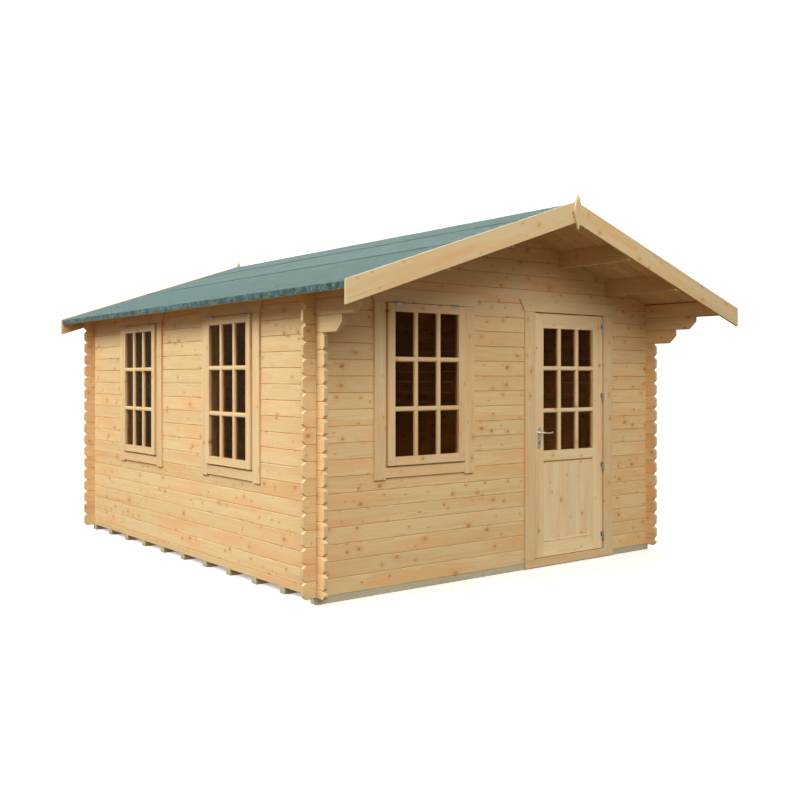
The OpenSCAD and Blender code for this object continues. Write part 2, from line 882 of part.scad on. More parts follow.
side_window_place(2) window_sash();  // side_window_2_sash
side_window_place(2) window_glass();  // side_window_2_glass
window_hinges();
on_front() door_trim();
on_front() door_frame();
on_front() door_frame_hinges();
on_front() door_leaf();
on_front() door_panel();
on_front() door_glass();
on_front() door_leaf_hinges();
on_front() door_handle_plates();
on_front() door_lever();
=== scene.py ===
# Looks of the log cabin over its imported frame: every log, board, bar, hinge and nail, with
# procedural pine, felt, glass and metal, in a plain studio.
import math
import random

import bmesh
import bpy
from mathutils import Matrix, Vector


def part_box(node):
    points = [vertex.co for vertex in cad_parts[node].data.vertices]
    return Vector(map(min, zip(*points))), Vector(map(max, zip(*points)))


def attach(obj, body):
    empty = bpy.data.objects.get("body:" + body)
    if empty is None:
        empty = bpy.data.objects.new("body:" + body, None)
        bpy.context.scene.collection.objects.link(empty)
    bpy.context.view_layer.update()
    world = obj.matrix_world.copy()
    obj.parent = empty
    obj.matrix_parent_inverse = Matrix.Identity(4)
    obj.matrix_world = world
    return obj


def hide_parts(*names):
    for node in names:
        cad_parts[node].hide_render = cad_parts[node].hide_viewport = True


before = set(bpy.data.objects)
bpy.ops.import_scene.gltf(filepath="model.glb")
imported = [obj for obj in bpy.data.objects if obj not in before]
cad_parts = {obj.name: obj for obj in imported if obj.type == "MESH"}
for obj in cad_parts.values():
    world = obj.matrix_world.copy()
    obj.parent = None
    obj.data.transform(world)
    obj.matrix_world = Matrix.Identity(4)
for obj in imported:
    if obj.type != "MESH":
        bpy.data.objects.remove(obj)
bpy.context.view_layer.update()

X, Y, Z = Vector((1, 0, 0)), Vector((0, 1, 0)), Vector((0, 0, 1))

# ---- Sizes, in metres ----

# Walls: log courses, their cut ends and the V between them, and the corbels under the eaves
COURSE, LOG_T, LOG_COURSES = 0.114, 0.030, 18
END_CHAMFER, GROOVE = 0.023, 0.004
CORBEL_LOGS, CORBEL_CHAMFER, CORBEL_LOW, CORBEL_MID = 3, 0.065, 0.306, 0.508
JOINT = 0.0006  # the crack between two pieces of wood that touch

# Roof and floor
PITCH = math.radians(18.76)
RISE = math.tan(PITCH)
STRETCH = 1 / math.cos(PITCH)
BOARD_T, ROOF_BOARD_W, ROOF_BOARD_V = 0.019, 0.096, 0.003
FLOOR_BOARD_W = 0.108
FELT_T, FELT_GAP, FELT_SHEET, FELT_LAP = 0.003, 0.0003, 0.93, 0.040
EDGE_BEND = 0.008

# Joinery: panes, bars and mouldings, and the boards round the openings
SASH_FACE, SASH_LAP, GLASS_T = 0.061, 0.020, 0.004
PANES, BAR_W, BAR_DEPTH, BAR_NOSE, BEAD_W = 3, 0.036, 0.020, 0.018, 0.022
FLARE, HEAD_H = 0.055, 0.095
SIDE_W, SILL_H, SIDE_TAIL = 0.097, 0.072, 0.012
RAIL_SHY, SHY, BEAD_GAP = 0.0003, 0.0004, 0.0005  # steps that keep faces off one plane

# Door: leaf, lining and the boards round it
STILE_W, TOP_RAIL, MID_RAIL, BOTTOM_RAIL = 0.108, 0.120, 0.080, 0.119
PANEL_H, PANEL_BOARDS, PANEL_V = 0.654, 6, 0.0009
FACE_STEP, STEP_DEPTH, LIP_W, LIP_BACK = 0.016, 0.003, 0.010, 0.012
JAMB, LINING_HEAD, SILL, STOP, STOP_BACK = 0.030, 0.057, 0.024, 0.014, 0.046
DOOR_SIDE_W = 0.108

# Faces of the cabin, from the frame
corner, far_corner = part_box("front_wall_left")
FRONT_Y, BACK_Y = corner.y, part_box("back_wall")[1].y
WALL_Z, END_WALL_TOP = corner.z, far_corner.z
LOG_END_X = -corner.x
corner, far_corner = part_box("left_wall")
SIDE_X, INNER_X = -corner.x, -corner.x - LOG_T
FRONT_END_Y, BACK_END_Y = corner.y, far_corner.y
SIDE_WALL_TOP = WALL_Z + (LOG_COURSES + 0.5) * COURSE
ROOF_FRONT_Y, ROOF_BACK_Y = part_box("ridge_purlin")[0].y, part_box("ridge_purlin")[1].y


def roof_z(x):
    """Height of the underside of the roof boards."""
    return SIDE_WALL_TOP + (SIDE_X - abs(x)) * RISE


# ---- Timber ----


def drawn(chance):
    return Vector([chance.random() for _ in range(3)])


def shell(rings):
    """Faces between rings of vertices, or of their numbers, with a cap on each end."""
    n = len(rings[0])
    faces = [rings[0]]
    for a, b in zip(rings, rings[1:]):
        faces += [(a[i], a[(i + 1) % n], b[(i + 1) % n], b[i]) for i in range(n)]
    return faces + [rings[-1][::-1]]


class Timber:
    """Pieces of wood gathered into one mesh, each with its own grain direction and chance."""

    FIELDS = ("board_origin", "board_along", "board_across", "board_seed")

    def __init__(self, name):
        self.name = name
        self.chance = random.Random(name)
        self.verts, self.faces, self.marks = [], [], []

    def rings(self, rings, along, across, seed=None):
        """A closed solid from rings of points, capped at both ends."""
        start, n = len(self.verts), len(rings[0])
        points = [Vector(p) for ring in rings for p in ring]
        middle = sum(points, Vector()) / len(points)
        mark = (middle, along.normalized(), across.normalized(), seed or drawn(self.chance))
        self.verts += points
        self.marks += [mark] * len(points)
        self.faces += shell([range(start + k * n, start + (k + 1) * n) for k in range(len(rings))])

    def prism(self, outline, plane, low, high, along, across, place=None):
        """An outline of 2-D points in a plane ("xz", "yz" or "xy"), from low to high across it."""
        put = {
            "xz": lambda p, d: Vector((p[0], d, p[1])),
            "yz": lambda p, d: Vector((d, p[0], p[1])),
            "xy": lambda p, d: Vector((p[0], p[1], d)),
        }[plane]
        rings = [[put(p, d) for p in outline] for d in (low, high)]
        if place is not None:
            rings = [[place @ p for p in ring] for ring in rings]
            along, across = place.to_3x3() @ along, place.to_3x3() @ across
        self.rings(rings, along, across)

    def box(self, low, high, along, across, place=None):
        outline = [(low[0], low[1]), (high[0], low[1]), (high[0], high[1]), (low[0], high[1])]
        self.prism(outline, "xy", low[2], high[2], along, across, place)

    def log(self, outline, plane, low, high, seed=None):
        """A log seen from its side, with a chamfer along its top and bottom on both faces."""
        bottom, top = min(p[1] for p in outline), max(p[1] for p in outline)
        lift = min(GROOVE, (top - bottom) / 3)

        def level(depth, inset):
            flat = [(p[0], min(max(p[1], bottom + inset), top - inset)) for p in outline]
            return [(u, depth, z) if plane == "xz" else (depth, u, z) for u, z in flat]

        rings = [level(low, lift + JOINT), level(low + GROOVE, JOINT),
                 level(high - GROOVE, JOINT), level(high, lift + JOINT)]
        self.rings(rings, X if plane == "xz" else Y, Z, seed)

    def build(self, node, look, body="cabin", edge=0.0015):
        """Makes the mesh, softens its edges and lets it stand for its CAD node."""
        mesh = bpy.data.meshes.new(self.name)
        mesh.from_pydata(self.verts, [], self.faces)
        for k, field in enumerate(self.FIELDS):
            layer = mesh.attributes.new(field, "FLOAT_VECTOR", "POINT")
            layer.data.foreach_set("vector", [c for mark in self.marks for c in mark[k]])
        finished(mesh, self.name, look, body, edge, node)


def skin(work, rings):
    for face in shell(rings):
        work.faces.new(face)


def mesh_of(work, name):
    mesh = bpy.data.meshes.new(name)
    work.to_mesh(mesh)
    work.free()
    return mesh


def placed(name, data):
    """A new object in the scene."""
    thing = bpy.data.objects.new(name, data)
    bpy.context.scene.collection.objects.link(thing)
    return thing


def finished(mesh, name, look, body, edge, node):
    """Puts a new mesh in the scene, on its body, in place of its CAD node if it has one."""
    material, slot = look
    work = bmesh.new()
    work.from_mesh(mesh)
    bmesh.ops.recalc_face_normals(work, faces=work.faces)
    work.to_mesh(mesh)
    work.free()
    mesh.materials.append(material)
    piece = placed(name, mesh)
    if edge:
        soft = piece.modifiers.new("soft_edges", "BEVEL")
        soft.width = edge
        soft.segments = 2
        soft.limit_method = "ANGLE"
        soft.angle_limit = math.radians(35)
        soft.use_clamp_overlap = False
        soft.harden_normals = True
        mesh.shade_smooth()
    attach(piece, body)
    if node:
        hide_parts(node)


# ---- Shader nodes ----


class Shader:
    """The node tree of a material or world, written as short calls that return sockets."""

    def __init__(self, owner):
        owner.use_nodes = True
        self.owner, self.tree = owner, owner.node_tree
        self.tree.nodes.clear()

    def node(self, kind, inputs=None, **settings):
        made = self.tree.nodes.new("ShaderNode" + kind)
        for key, value in settings.items():
            setattr(made, key, value)
        for key, value in (inputs or {}).items():
            self.feed(made.inputs[key], value)
        return made

    def feed(self, socket, value):
        if isinstance(value, bpy.types.NodeSocket):
            self.tree.links.new(value, socket)
        else:
            flat = isinstance(value, tuple) and socket.type == "VECTOR"
            socket.default_value = value[:3] if flat else value

    def math(self, operation, *values):
        return self.node("Math", dict(enumerate(values)), operation=operation).outputs[0]

    def add(self, a, b):
        return self.math("ADD", a, b)

    def less(self, a, b):
        return self.math("SUBTRACT", a, b)

    def times(self, a, b):
        return self.math("MULTIPLY", a, b)

    def over(self, a, b):
        return self.math("DIVIDE", a, b)

    def vector(self, operation, *values):
        made = self.node("VectorMath", operation=operation)
        for k, value in enumerate(values):
            self.feed(made.inputs["Scale" if operation == "SCALE" and k else k], value)
        return made.outputs["Value" if operation in ("DOT_PRODUCT", "LENGTH") else "Vector"]

    def place(self):
        return self.node("TexCoord").outputs["Object"]

    def attribute(self, name):
        return self.node("Attribute", attribute_name=name).outputs["Vector"]

    def split(self, vector):
        return self.node("SeparateXYZ", {0: vector}).outputs[:]

    def join(self, x, y, z):
        return self.node("CombineXYZ", {0: x, 1: y, 2: z}).outputs[0]

    def noise(self, vector, scale, detail=2.0, roughness=0.5):
        inputs = {"Vector": vector, "Scale": scale, "Detail": detail, "Roughness": roughness}
        return self.node("TexNoise", inputs).outputs["Fac"]

    def ease(self, value, low, high, to_low=0.0, to_high=1.0):
        """Goes smoothly from to_low, where value is low, to to_high, where it is high."""
        made = self.node("MapRange", {0: value, 1: low, 2: high, 3: to_low, 4: to_high})
        made.interpolation_type = "SMOOTHSTEP"
        return made.outputs[0]

    def mix(self, share, a, b, blend="MIX"):
        made = self.node("Mix", data_type="RGBA", blend_type=blend)
        self.feed(made.inputs[0], share)
        self.feed(made.inputs[6], a)
        self.feed(made.inputs[7], b)
        return made.outputs[2]

    def bright(self, colour, by):
        """The colour times a number."""
        return self.vector("SCALE", colour, by)

    def bump(self, height, distance, strength=1.0):
        inputs = {"Height": height, "Distance": distance, "Strength": strength}
        return self.node("Bump", inputs).outputs["Normal"]

    def finish(self, colour, roughness, normal=None, **fixed):
        made = self.node("BsdfPrincipled", {"Base Color": colour, "Roughness": roughness})
        if normal is not None:
            self.feed(made.inputs["Normal"], normal)
        for key, value in fixed.items():
            made.inputs[key.replace("_", " ")].default_value = value
        self.node("OutputMaterial", {"Surface": made.outputs[0]})
        return self.owner


def shader(name):
    return Shader(bpy.data.materials.new(name))


def rgb(r, g, b):
    return (r, g, b, 1.0)


def wood(name, light, dark, blush, knots=0.3, knot_size=1.0, spread=0.16, rough=0.58, grey=0.0):
    """Sawn softwood: rings, streaks, knots with halos, end grain and a tone for each board."""
    s = shader(name)
    place = s.node("TexCoord")
    local = s.vector("SUBTRACT", place.outputs["Object"], s.attribute("board_origin"))
    along, across = s.attribute("board_along"), s.attribute("board_across")
    deep = s.vector("CROSS_PRODUCT", along, across)
    u = s.vector("DOT_PRODUCT", local, along)
    v = s.vector("DOT_PRODUCT", local, across)
    w = s.vector("DOT_PRODUCT", local, deep)
    seed = s.attribute("board_seed")
    sx, sy, sz = s.split(seed)
    shift = s.vector("SCALE", seed, 61.0)

    # Noise that is long along the grain
    def grain(stretch_u, stretch_v, scale, detail=3.0):
        at = s.join(s.times(u, stretch_u), s.times(v, stretch_v), s.times(w, stretch_v))
        return s.noise(s.vector("ADD", at, shift), scale, detail, 0.55)

    # Knots: one chance in each cell of a grid of points on the wide face
    cell = 0.105
    at_knots = s.join(s.over(s.add(s.times(u, 0.72), s.times(sx, 31.0)), cell),
                      s.over(s.add(v, s.times(sy, 17.0)), cell), 0.0)
    spots = s.node("TexVoronoi", {"Vector": at_knots, "Scale": 1.0, "Randomness": 0.95},
                   voronoi_dimensions="2D")
    chance, size, darkness = s.split(spots.outputs["Color"])
    crowd = s.ease(grain(2.2, 2.2, 1.0, 1.0), 0.38, 0.62, 0.35, 1.8)
    ragged = s.times(s.less(grain(60, 90, 1.0), 0.5), 0.009)
    from_knot = s.add(s.times(spots.outputs["Distance"], cell), ragged)
    there = s.math("LESS_THAN", chance, s.times(crowd, knots))
    radius = s.add(0.0035 * knot_size, s.times(s.math("POWER", size, 1.6), 0.0095 * knot_size))
    share = s.over(from_knot, radius)
    core = s.times(there, s.ease(share, 0.45, 1.25, 1.0, 0.0))
    rim = s.times(there, s.less(s.ease(share, 0.6, 0.95), s.ease(share, 1.0, 1.4)))
    halo = s.times(there, s.ease(share, 0.8, 4.6, 1.0, 0.0))

    # Growth rings round a heart that lies off the board, drawn aside by the knots
    wander = s.times(s.less(grain(1.1, 3.0, 1.0, 2.0), 0.5), 0.035)
    heart_v = s.less(v, s.times(s.less(sy, 0.5), 0.11))
    heart_w = s.add(w, s.add(0.02, s.times(sz, 0.05)))
    radial = s.math("SQRT", s.add(s.math("POWER", heart_v, 2.0), s.math("POWER", heart_w, 2.0)))
    radial = s.add(s.add(radial, wander), s.times(halo, 0.009))
    ring = s.math("FRACT", s.over(radial, s.add(0.0042, s.times(sx, 0.0035))))
    late = s.times(s.ease(ring, 0.25, 0.9), s.ease(ring, 0.9, 1.0, 1.0, 0.0))
    fibre = grain(9.0, 420.0, 1.0, 2.0)
    streak = grain(0.8, 16.0, 1.0)
    patch = grain(0.7, 4.0, 1.6, 2.0)

    colour = s.mix(s.times(late, 0.42), light, dark)
    colour = s.mix(s.ease(streak, 0.48, 0.76, 0.0, 0.65), colour, dark)
    colour = s.mix(s.ease(patch, 0.46, 0.70, 0.0, 0.82), colour, blush)
    colour = s.mix(s.times(halo, 0.50), colour, s.mix(0.60, colour, rgb(0.68, 0.31, 0.085)))
    colour = s.bright(colour, s.ease(fibre, 0.3, 0.7, 0.93, 1.05))
    tone = s.node("TexWhiteNoise", {"Vector": seed}, noise_dimensions="3D")
    tone_a, tone_b, _ = s.split(tone.outputs["Color"])
    colour = s.bright(colour, s.ease(tone_a, 0.0, 1.0, 1.0 - spread / 2, 1.0 + spread / 2))
    colour = s.mix(s.ease(tone_b, 0.6, 1.0, 0.0, 0.22), colour, s.mix(1.0, colour, blush, "MULTIPLY"))
    knot_colour = s.mix(s.math("POWER", darkness, 2.0),
                        rgb(0.63, 0.265, 0.075), rgb(0.36, 0.130, 0.040))
    knot_colour = s.mix(s.times(s.math("FRACT", s.times(share, 3.0)), 0.35),
                        knot_colour, rgb(0.60, 0.30, 0.10))
    colour = s.mix(s.times(core, 0.80), colour, knot_colour)
    colour = s.mix(s.times(rim, 0.22), colour, rgb(0.24, 0.085, 0.028))

    # Sawn ends: darker and drier than the faces
    facing = s.math("ABSOLUTE", s.vector("DOT_PRODUCT", place.outputs["Normal"], along))
    end = s.ease(facing, 0.72, 0.9)
    end_colour = s.mix(s.times(late, 0.6), s.bright(light, 0.86), s.bright(dark, 0.7))
    colour = s.mix(s.times(end, 0.8), colour, end_colour)
    if grey:
        colour = s.mix(grey, colour, rgb(0.32, 0.33, 0.25))

    height = s.add(s.times(fibre, 0.5), s.times(late, -0.5))
    height = s.add(height, s.times(core, 0.8))
    roughness = s.add(rough, s.times(s.less(fibre, late), 0.10))
    return s.finish(colour, roughness, s.bump(height, 0.00035, 0.7), Specular_IOR_Level=0.35)


def felt(name):
    """Green mineral felt: packed granules of several shades over a slightly wavy sheet."""
    s = shader(name)
    place = s.place()
    grit = s.node("TexVoronoi", {"Vector": place, "Scale": 260.0})
    shade, other, _ = s.split(grit.outputs["Color"])
    coarse = s.noise(place, 75.0, 2.5, 0.7)
    cloud = s.noise(place, 2.2, 3.0)
    colour = s.mix(s.ease(shade, 0.1, 0.9), rgb(0.012, 0.036, 0.035), rgb(0.044, 0.102, 0.099))
    colour = s.mix(s.ease(other, 0.80, 0.95, 0.0, 0.6), colour, rgb(0.17, 0.27, 0.26))
    colour = s.bright(colour, s.ease(coarse, 0.38, 0.62, 0.40, 1.7))
    colour = s.bright(colour, s.ease(s.noise(place, 21.0, 1.0), 0.36, 0.64, 0.62, 1.42))
    colour = s.bright(colour, s.ease(cloud, 0.3, 0.7, 0.94, 1.06))
    lumps = s.noise(place, 42.0, 2.0)
    height = s.add(s.times(lumps, 1.6), s.times(coarse, 0.8))
    height = s.less(height, s.times(grit.outputs["Distance"], 0.5))
    roughness = s.ease(coarse, 0.3, 0.7, 0.78, 0.92)
    return s.finish(colour, roughness, s.bump(height, 0.003, 0.9), Sheen_Weight=0.64,
                    Sheen_Roughness=0.22, Sheen_Tint=rgb(0.68, 1.0, 1.0), Specular_IOR_Level=0.5)


def metal(name, light, dark, roughness, brushed):
    """Zinc or brushed steel with fine marks and slightly uneven gloss."""
    s = shader(name)
    place = s.place()
    scaled = s.vector("MULTIPLY", place, brushed)
    marks = s.noise(scaled, 1.0, 3.0, 0.6)
    cloud = s.noise(place, 38.0, 3.0)
    colour = s.mix(s.ease(cloud, 0.3, 0.7), dark, light)
    colour = s.bright(colour, s.ease(marks, 0.25, 0.75, 0.9, 1.06))
    gloss = s.add(roughness, s.times(s.less(marks, 0.5), 0.16))
    return s.finish(colour, gloss, s.bump(marks, 0.00006, 0.5), Metallic=1.0)


def glass(name):
    """Glass with a bronze tint, darker in places, and brown-tinted reflections, with barely uneven
    faces. The panes look dark partly from the real dim cabin behind them and partly from these tints,
    which are painted shade.
    """
    s = shader(name)
    place = s.place()
    haze = s.noise(place, 6.0, 3.0)
    # Bronze tint through the pane and brown tint on its reflections: painted shade
    colour = s.mix(haze, rgb(0.77, 0.62, 0.44), rgb(0.84, 0.69, 0.50))
    return s.finish(colour, s.ease(haze, 0.35, 0.75, 0.0, 0.03), s.bump(haze, 0.0004, 0.2),
                    Transmission_Weight=1.0, IOR=1.12, Specular_Tint=rgb(1.0, 0.72, 0.5))


def planed(name, light, dark, blush, knots, spread=0.06):
    return wood(name, light, dark, blush, knots, 0.8, spread, rough=0.5), "planed_timber"


# Each look is a material and the name of its slot
PINE = wood("pine_logs", rgb(0.80, 0.605, 0.330), rgb(0.67, 0.430, 0.190),
            rgb(0.80, 0.480, 0.220), knots=0.52, spread=0.09), "logs"
BARGE = planed("pine_barge", rgb(0.71, 0.555, 0.315), rgb(0.60, 0.395, 0.180),
               rgb(0.72, 0.435, 0.200), 0.34)
PLANED = planed("pine_planed", rgb(0.785, 0.605, 0.345), rgb(0.66, 0.440, 0.205),
                rgb(0.79, 0.500, 0.255), 0.30)
JOINERY = planed("pine_door", rgb(0.88, 0.700, 0.415), rgb(0.74, 0.510, 0.250),
                 rgb(0.84, 0.560, 0.300), 0.34, spread=0.11)
BOARDS = wood("pine_boards", rgb(0.74, 0.520, 0.260), rgb(0.58, 0.350, 0.150),
              rgb(0.72, 0.430, 0.200), knots=0.38, spread=0.2, rough=0.68), "rough_boards"
TREATED = wood("treated_pine", rgb(0.66, 0.60, 0.42), rgb(0.47, 0.42, 0.28),
               rgb(0.58, 0.52, 0.35), knots=0.2, spread=0.2, rough=0.75, grey=0.25), "treated_timber"
FELT = felt("roof_felt_green"), "roof_felt"
ZINC = metal("zinc_plate", rgb(0.60, 0.59, 0.56), rgb(0.38, 0.37, 0.35),
             0.40, (60, 60, 60)), "zinc_steel"
STEEL = metal("brushed_steel", rgb(0.93, 0.93, 0.91), rgb(0.80, 0.80, 0.79),
              0.36, (900, 900, 30)), "handle_steel"
# The keyhole's near-black finish is painted shade standing in for the dark inside of the hole
SHADOW = metal("keyhole_painted_shade", rgb(0.045, 0.042, 0.040), rgb(0.020, 0.019, 0.018),
               0.5, (200, 200, 200)), "handle_steel"
GLASS = glass("window_glass"), "window_glass"


# ---- Log walls ----


def log_end(u, z0, z1, cut):
    """The end of a log, from its top down, with its corners cut back by so much along u."""
    c = abs(cut)
    return [(u + cut, z1), (u, z1 - c), (u, z0 + c), (u + cut, z0)] if cut else [(u, z1), (u, z0)]


def log_outline(u0, u1, z0, z1, free0=False, free1=False):
    """A log seen from its side; a free end has its corners cut back."""
    right = log_end(u1, z0, z1, -END_CHAMFER * free1)
    return log_end(u0, z0, z1, END_CHAMFER * free0) + right[::-1]


END_JOINTS = [WALL_Z + k * COURSE for k in range(LOG_COURSES + 1)]
SIDE_JOINTS = [WALL_Z] + [WALL_Z + (k + 0.5) * COURSE for k in range(LOG_COURSES + 1)]


def wall_logs(timber, plane, faces, spans, joints, seeds):
    """Logs of a wall; spans are (u0, u1, bottom, top, free end 0, free end 1)."""
    for u0, u1, low, high, *free in spans:
        for k, (joint, next_joint) in enumerate(zip(joints, joints[1:])):
            z0, z1 = max(low, joint), min(high, next_joint)
            if z1 - z0 > 0.002:
                timber.log(log_outline(u0, u1, z0, z1, *free), plane, *faces, seed=seeds[k])


def wall_seeds(name, count):
    chance = random.Random(name)
    return [drawn(chance) for _ in range(count)]


def end_walls():
    window_low, window_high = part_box("front_window_frame")
    door_low, door_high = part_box("door_frame")
    front, back = (FRONT_Y, FRONT_Y + LOG_T), (BACK_Y - LOG_T, BACK_Y)
    for name, node, chance, faces, spans in (
        ("front_logs_left", "front_wall_left", "front_logs", front, [
            (-LOG_END_X, door_low.x, WALL_Z, window_low.z, True, False),
            (-LOG_END_X, window_low.x, window_low.z, END_WALL_TOP, True, False),
            (window_high.x, door_low.x, window_low.z, END_WALL_TOP, False, False)]),
        ("front_logs_right", "front_wall_right", "front_logs", front, [
            (door_high.x, LOG_END_X, WALL_Z, END_WALL_TOP, False, True)]),
        ("back_logs", "back_wall", "back_logs", back, [
            (-LOG_END_X, LOG_END_X, WALL_Z, END_WALL_TOP, True, True)]),
    ):
        timber = Timber(name)
        wall_logs(timber, "xz", faces, spans, END_JOINTS, wall_seeds(chance, LOG_COURSES))
        timber.build(node, PINE, edge=0)


def gable(name, node, low_y):
    """Logs over an end wall, each cut to the slope of the roof."""
    def half(z):
        return min(INNER_X, SIDE_X - (z - SIDE_WALL_TOP) / RISE - 0.0005)

    timber = Timber(name)
    z0, knee, ridge = END_WALL_TOP, roof_z(INNER_X), roof_z(0)
    while ridge - z0 > 0.03:
        z1 = min(z0 + COURSE, ridge - 0.0015)
        right = [(half(z0), z0), (half(z1), z1)]
        if z0 < knee < z1:
            right = [(INNER_X, z0), (INNER_X, knee), (half(z1), z1)]
        left = [(-x, z) for x, z in reversed(right)]
        timber.log(left + right, "xz", low_y, low_y + LOG_T)
        z0 = z1
    timber.build(node, PINE, edge=0)


def side_walls():
    sides = {"left": (-SIDE_X, -INNER_X), "right": (INNER_X, SIDE_X)}
    seeds = {side: wall_seeds(side + "_logs", LOG_COURSES + 1) for side in sides}
    z = [SIDE_JOINTS[-1 - CORBEL_LOGS] + k * COURSE for k in range(CORBEL_LOGS + 1)]
    (low, high), (low_2, high_2) = [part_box(f"side_window_{i}_frame") for i in (1, 2)]
    cuts = (low.y, high.y, low_2.y, high_2.y)
    spans = {
        "left": [(FRONT_END_Y, BACK_END_Y, WALL_Z, low.z, True, True),
                 (FRONT_END_Y, cuts[0], low.z, z[0], True, False),
                 (cuts[1], cuts[2], low.z, z[0], False, False),
                 (cuts[3], BACK_END_Y, low.z, z[0], False, True)],
        "right": [(FRONT_END_Y, BACK_END_Y, WALL_Z, z[0], True, True)],
    }
    for side, faces in sides.items():
        timber = Timber(side + "_logs")
        wall_logs(timber, "yz", faces, spans[side], SIDE_JOINTS, seeds[side])
        timber.build(side + "_wall", PINE, edge=0)

    # The top logs reach out under the front of the roof; the windows cut into the lowest
    c = CORBEL_CHAMFER
    low_y, mid_y = FRONT_Y - CORBEL_LOW, FRONT_Y - CORBEL_MID
    noses = [
        [(low_y, z[1]), (low_y, z[0] + c), (low_y + c, z[0])],
        [(mid_y, z[2]), (mid_y, z[1] + c), (mid_y + c, z[1])],
        [(ROOF_FRONT_Y, z[3]), (ROOF_FRONT_Y, z[2])],
    ]
    for side, faces in sides.items():
        timber = Timber(side + "_corbel_logs")
        for k, nose in enumerate(noses):
            z0, z1 = z[k], z[k + 1]
            tail = log_end(BACK_END_Y, z0, z1, -END_CHAMFER)[::-1]
            parts = [nose + tail]
            if side == "left" and z1 < high.z + GROOVE:
                parts = [nose + [(cuts[0], z0), (cuts[0], z1)],
                         log_outline(cuts[1], cuts[2], z0, z1),
                         [(cuts[3], z1), (cuts[3], z0)] + tail]
            for part in parts:
                timber.log(part, "yz", *faces, seed=seeds[side][LOG_COURSES + 1 - CORBEL_LOGS + k])
        timber.build(side + "_eaves_logs", PINE, edge=0)


# ---- Floor ----


def floor():
    low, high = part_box("floor_bearers")
    bearers = Timber("bearers")
    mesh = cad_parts["floor_bearers"].data
    starts = sorted({round(v.co.y, 4) for v in mesh.vertices})
    for y0, y1 in zip(starts[::2], starts[1::2]):
        bearers.box((low.x, y0, low.z), (high.x, y1, high.z), X, Z)
    bearers.build("floor_bearers", TREATED, edge=0.002)

    low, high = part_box("floor_boards")
    door_low, door_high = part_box("door_frame")
    boards = Timber("floor_planks")
    count = round((high.x - low.x) / FLOOR_BOARD_W)
    width = (high.x - low.x) / count
    for k in range(count):
        a, b = low.x + k * width + JOINT, low.x + (k + 1) * width - JOINT
        outline = [(a, low.y), (b, low.y), (b, high.y), (a, high.y)]
        if a < door_low.x < b:
            outline[1:2] = [(door_low.x, low.y), (door_low.x, door_high.y), (b, door_high.y)]
        elif a < door_high.x < b:
            outline[0:1] = [(a, door_high.y), (door_high.x, door_high.y), (door_high.x, low.y)]
        elif door_low.x < a and b < door_high.x:
            outline[0:2] = [(a, door_high.y), (b, door_high.y)]
        boards.prism(outline, "xy", low.z, high.z, Y, X)
    boards.build("floor_boards", BOARDS, edge=0.002)


# ---- Roof ----


EDGE_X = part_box("roof_felt_right")[1].x
LAP_X = EDGE_X - FELT_SHEET / STRETCH
CAP_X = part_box("ridge_felt")[1].x


def slope_place(side, x, lift):
    """Axes of a slope at x: x runs down the slope, y along the ridge and z out of the roof."""
    down = Vector((side * math.cos(PITCH), 0, -math.sin(PITCH)))
    out = Vector((side * math.sin(PITCH), 0, math.cos(PITCH)))
    at = Vector((side * x, 0, roof_z(x))) + out * lift
    return Matrix.Translation(at) @ Matrix([down, Y, out]).transposed().to_4x4()


def purlins():
    for node in ("ridge_purlin", "left_upper_purlin", "left_lower_purlin",
                 "right_upper_purlin", "right_lower_purlin"):
        low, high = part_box(node)
        top = [(high.x, roof_z(high.x)), (low.x, roof_z(low.x))]
        if node == "ridge_purlin":
            top.insert(1, (0, roof_z(0)))
        timber = Timber(node.replace("purlin", "beam"))
        outline = [(low.x, low.z), (high.x, low.z)] + [(x, z - JOINT) for x, z in top]
        timber.prism(outline, "xz", low.y, high.y, Y, Z)
        timber.build(node, BOARDS, edge=0.003)


def roof_boards(side, word):
    """Tongued boards laid down the slope, with a V joint on the underside."""
    low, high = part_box("roof_boards_" + word)
    length = (high.x - low.x) * STRETCH - BOARD_T * RISE
    count = round((high.y - low.y) / ROOF_BOARD_W)
    width = (high.y - low.y) / count
    v = ROOF_BOARD_V
    timber = Timber("roof_planks_" + word)
    place = slope_place(side, 0, 0)
    for k in range(count):
        y0, y1 = low.y + k * width + JOINT / 2, low.y + (k + 1) * width - JOINT / 2
        outline = [(y0 + v, 0), (y1 - v, 0), (y1, v), (y1, BOARD_T), (y0, BOARD_T), (y0, v)]
        timber.prism(outline, "yz", 0, length, X, Y, place)
    timber.build("roof_boards_" + word, BOARDS, edge=0)


def eaves_boards():
    for word in ("left", "right"):
        timber = Timber("eaves_fascia_" + word)
        timber.box(*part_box("eaves_board_" + word), Y, Z)
        timber.build("eaves_board_" + word, BOARDS)


def sheet_of_felt(outline, name, node):
    """Felt from its outline in (x, z), cut into short lengths and left slightly wavy."""
    chance = random.Random("felt")
    steps = 64
    waves = [(chance.uniform(1.5, 9.0), chance.uniform(0, 6.28), chance.uniform(0.2, 0.45))
             for _ in range(5)]
    work = bmesh.new()
    rings = []
    for k in range(steps + 1):
        y = ROOF_FRONT_Y + (ROOF_BACK_Y - ROOF_FRONT_Y) * k / steps
        fade = min(1.0, 6 * k / steps, 6 * (steps - k) / steps)
        lift = 0.0006 * fade * sum(a * math.sin(f * y + p) for f, p, a in waves)
        rings.append([work.verts.new((x, y, z + lift)) for x, z in outline])
    skin(work, rings)
    finished(mesh_of(work, name), name, FELT, "cabin", 0.0008, node)


